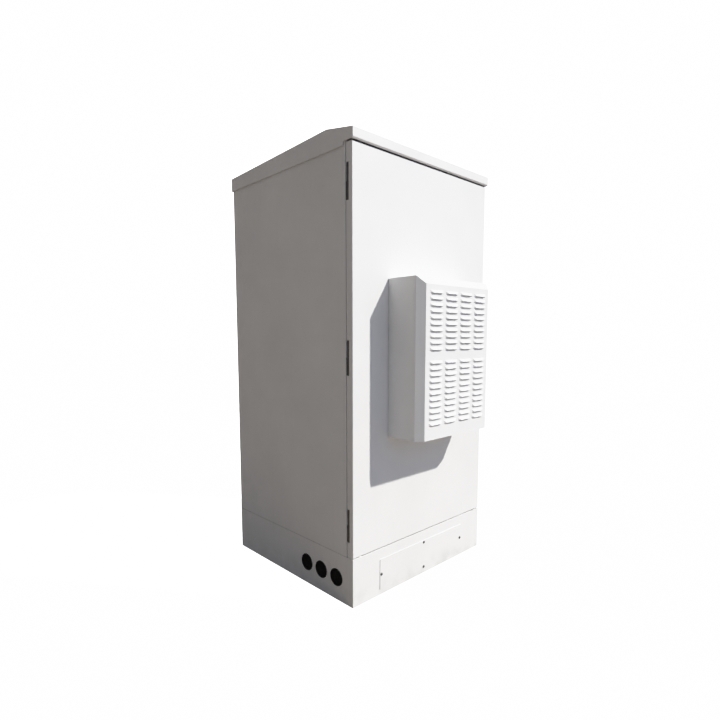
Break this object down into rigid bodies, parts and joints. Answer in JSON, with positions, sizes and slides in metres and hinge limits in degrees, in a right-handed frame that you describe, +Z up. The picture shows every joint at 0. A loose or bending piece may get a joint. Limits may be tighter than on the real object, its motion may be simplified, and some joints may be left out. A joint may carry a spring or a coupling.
{
  "type": "outdoor equipment cabinet",
  "caption": "Free-standing outdoor equipment cabinet on a plinth: hinged front door carrying a louvred cooling unit, sloped roof cap, rack rails inside.",
  "frame": {"origin": "centre of the anchor bolt pattern on the underside of the plinth", "axes": "+Z up, -Y towards the front (the door face), +X to the right seen from the front"},
  "size_m": [0.81, 0.912, 1.678],
  "materials": {
    "white_coat": "fine matt powder coat",
    "galvanised": "galvanised sheet",
    "dark_steel": "dark zinc plate",
    "black_rubber": "matt black rubber",
    "black_coat": "black satin coat",
    "copper": "bare copper",
    "bare_aluminium": "bare fins",
    "dark_plastic": "moulded dark plastic",
    "foam": "closed-cell foam"
  },
  "bodies": {
    "cabinet": {"plinth_left_side": "white_coat", "plinth_right_side": "white_coat", "plinth_front": "white_coat", "plinth_back": "white_coat", "plinth_cover": "white_coat", "plinth_cover_screws": "dark_steel", "cable_grommets": "black_rubber", "floor_plate": "galvanised", "gland_plate": "galvanised", "gland_grommets": "black_rubber", "left_side_panel": "white_coat", "right_side_panel": "white_coat", "back_panel": "white_coat", "back_panel_screws": "dark_steel", "header": "white_coat", "sill": "white_coat", "top_plate": "galvanised", "roof_cap": "white_coat", "roof_bearers": "galvanised", "hinge_frame_leaves": "dark_steel", "hinge_pins": "dark_steel", "rack_rail_front_left": "galvanised", "rack_rail_front_right": "galvanised", "rack_rail_rear_left": "galvanised", "rack_rail_rear_right": "galvanised", "left_rail_brackets": "galvanised", "right_rail_brackets": "galvanised", "equipment_shelf": "galvanised", "ground_bar": "copper", "ground_bar_insulators": "dark_plastic"},
    "door": {"door_skin": "white_coat", "door_liner": "white_coat", "door_insulation": "foam", "door_gasket": "black_rubber", "hinge_door_leaves": "dark_steel", "handle_base": "black_coat", "rod_guides": "galvanised", "ac_cover": "white_coat", "ac_chassis": "galvanised", "ac_cover_screws": "dark_steel", "ac_divider": "galvanised", "condenser_coil": "bare_aluminium", "condenser_fan_frame": "dark_plastic", "compressor": "black_coat", "refrigerant_pipes": "copper", "ac_inner_case": "white_coat", "evaporator_coil": "bare_aluminium", "blower_frame": "dark_plastic", "ac_controller": "dark_plastic"},
    "handle": {"handle_lever": "black_coat", "lock_cam": "galvanised"},
    "upper_bolt": {"upper_bolt": "galvanised"},
    "lower_bolt": {"lower_bolt": "galvanised"},
    "condenser_rotor": {"condenser_fan_rotor": "dark_plastic"},
    "blower_rotor": {"blower_rotor": "dark_plastic"}
  },
  "joints": [
    {"name": "door_hinge", "type": "hinge", "parent": "cabinet", "child": "door", "pos_m": [-0.395, -0.35, 0.898], "axis": [0, 0, -1], "range_deg": [0, 110]},
    {"name": "handle_turn", "type": "hinge", "parent": "door", "child": "handle", "pos_m": [0.325, -0.381, 0.89372], "axis": [0, -1, 0], "range_deg": [0, 90]},
    {"name": "upper_bolt_slide", "type": "slide", "parent": "door", "child": "upper_bolt", "axis": [0, 0, 1], "range_m": [0, 0.0227]},
    {"name": "lower_bolt_slide", "type": "slide", "parent": "door", "child": "lower_bolt", "axis": [0, 0, -1], "range_m": [0, 0.0227]},
    {"name": "condenser_fan_spin", "type": "hinge", "parent": "door", "child": "condenser_rotor", "pos_m": [-0.084, -0.494, 0.7495], "axis": [0, -1, 0], "continuous": true},
    {"name": "blower_spin", "type": "hinge", "parent": "door", "child": "blower_rotor", "pos_m": [0, -0.275, 1.033], "axis": [0, -1, 0], "continuous": true}
  ],
  "couplings": [
    {"joint": "upper_bolt_slide", "follows": "handle_turn", "m_per_rad": 0.014405},
    {"joint": "lower_bolt_slide", "follows": "handle_turn", "m_per_rad": 0.014405}
  ]
}
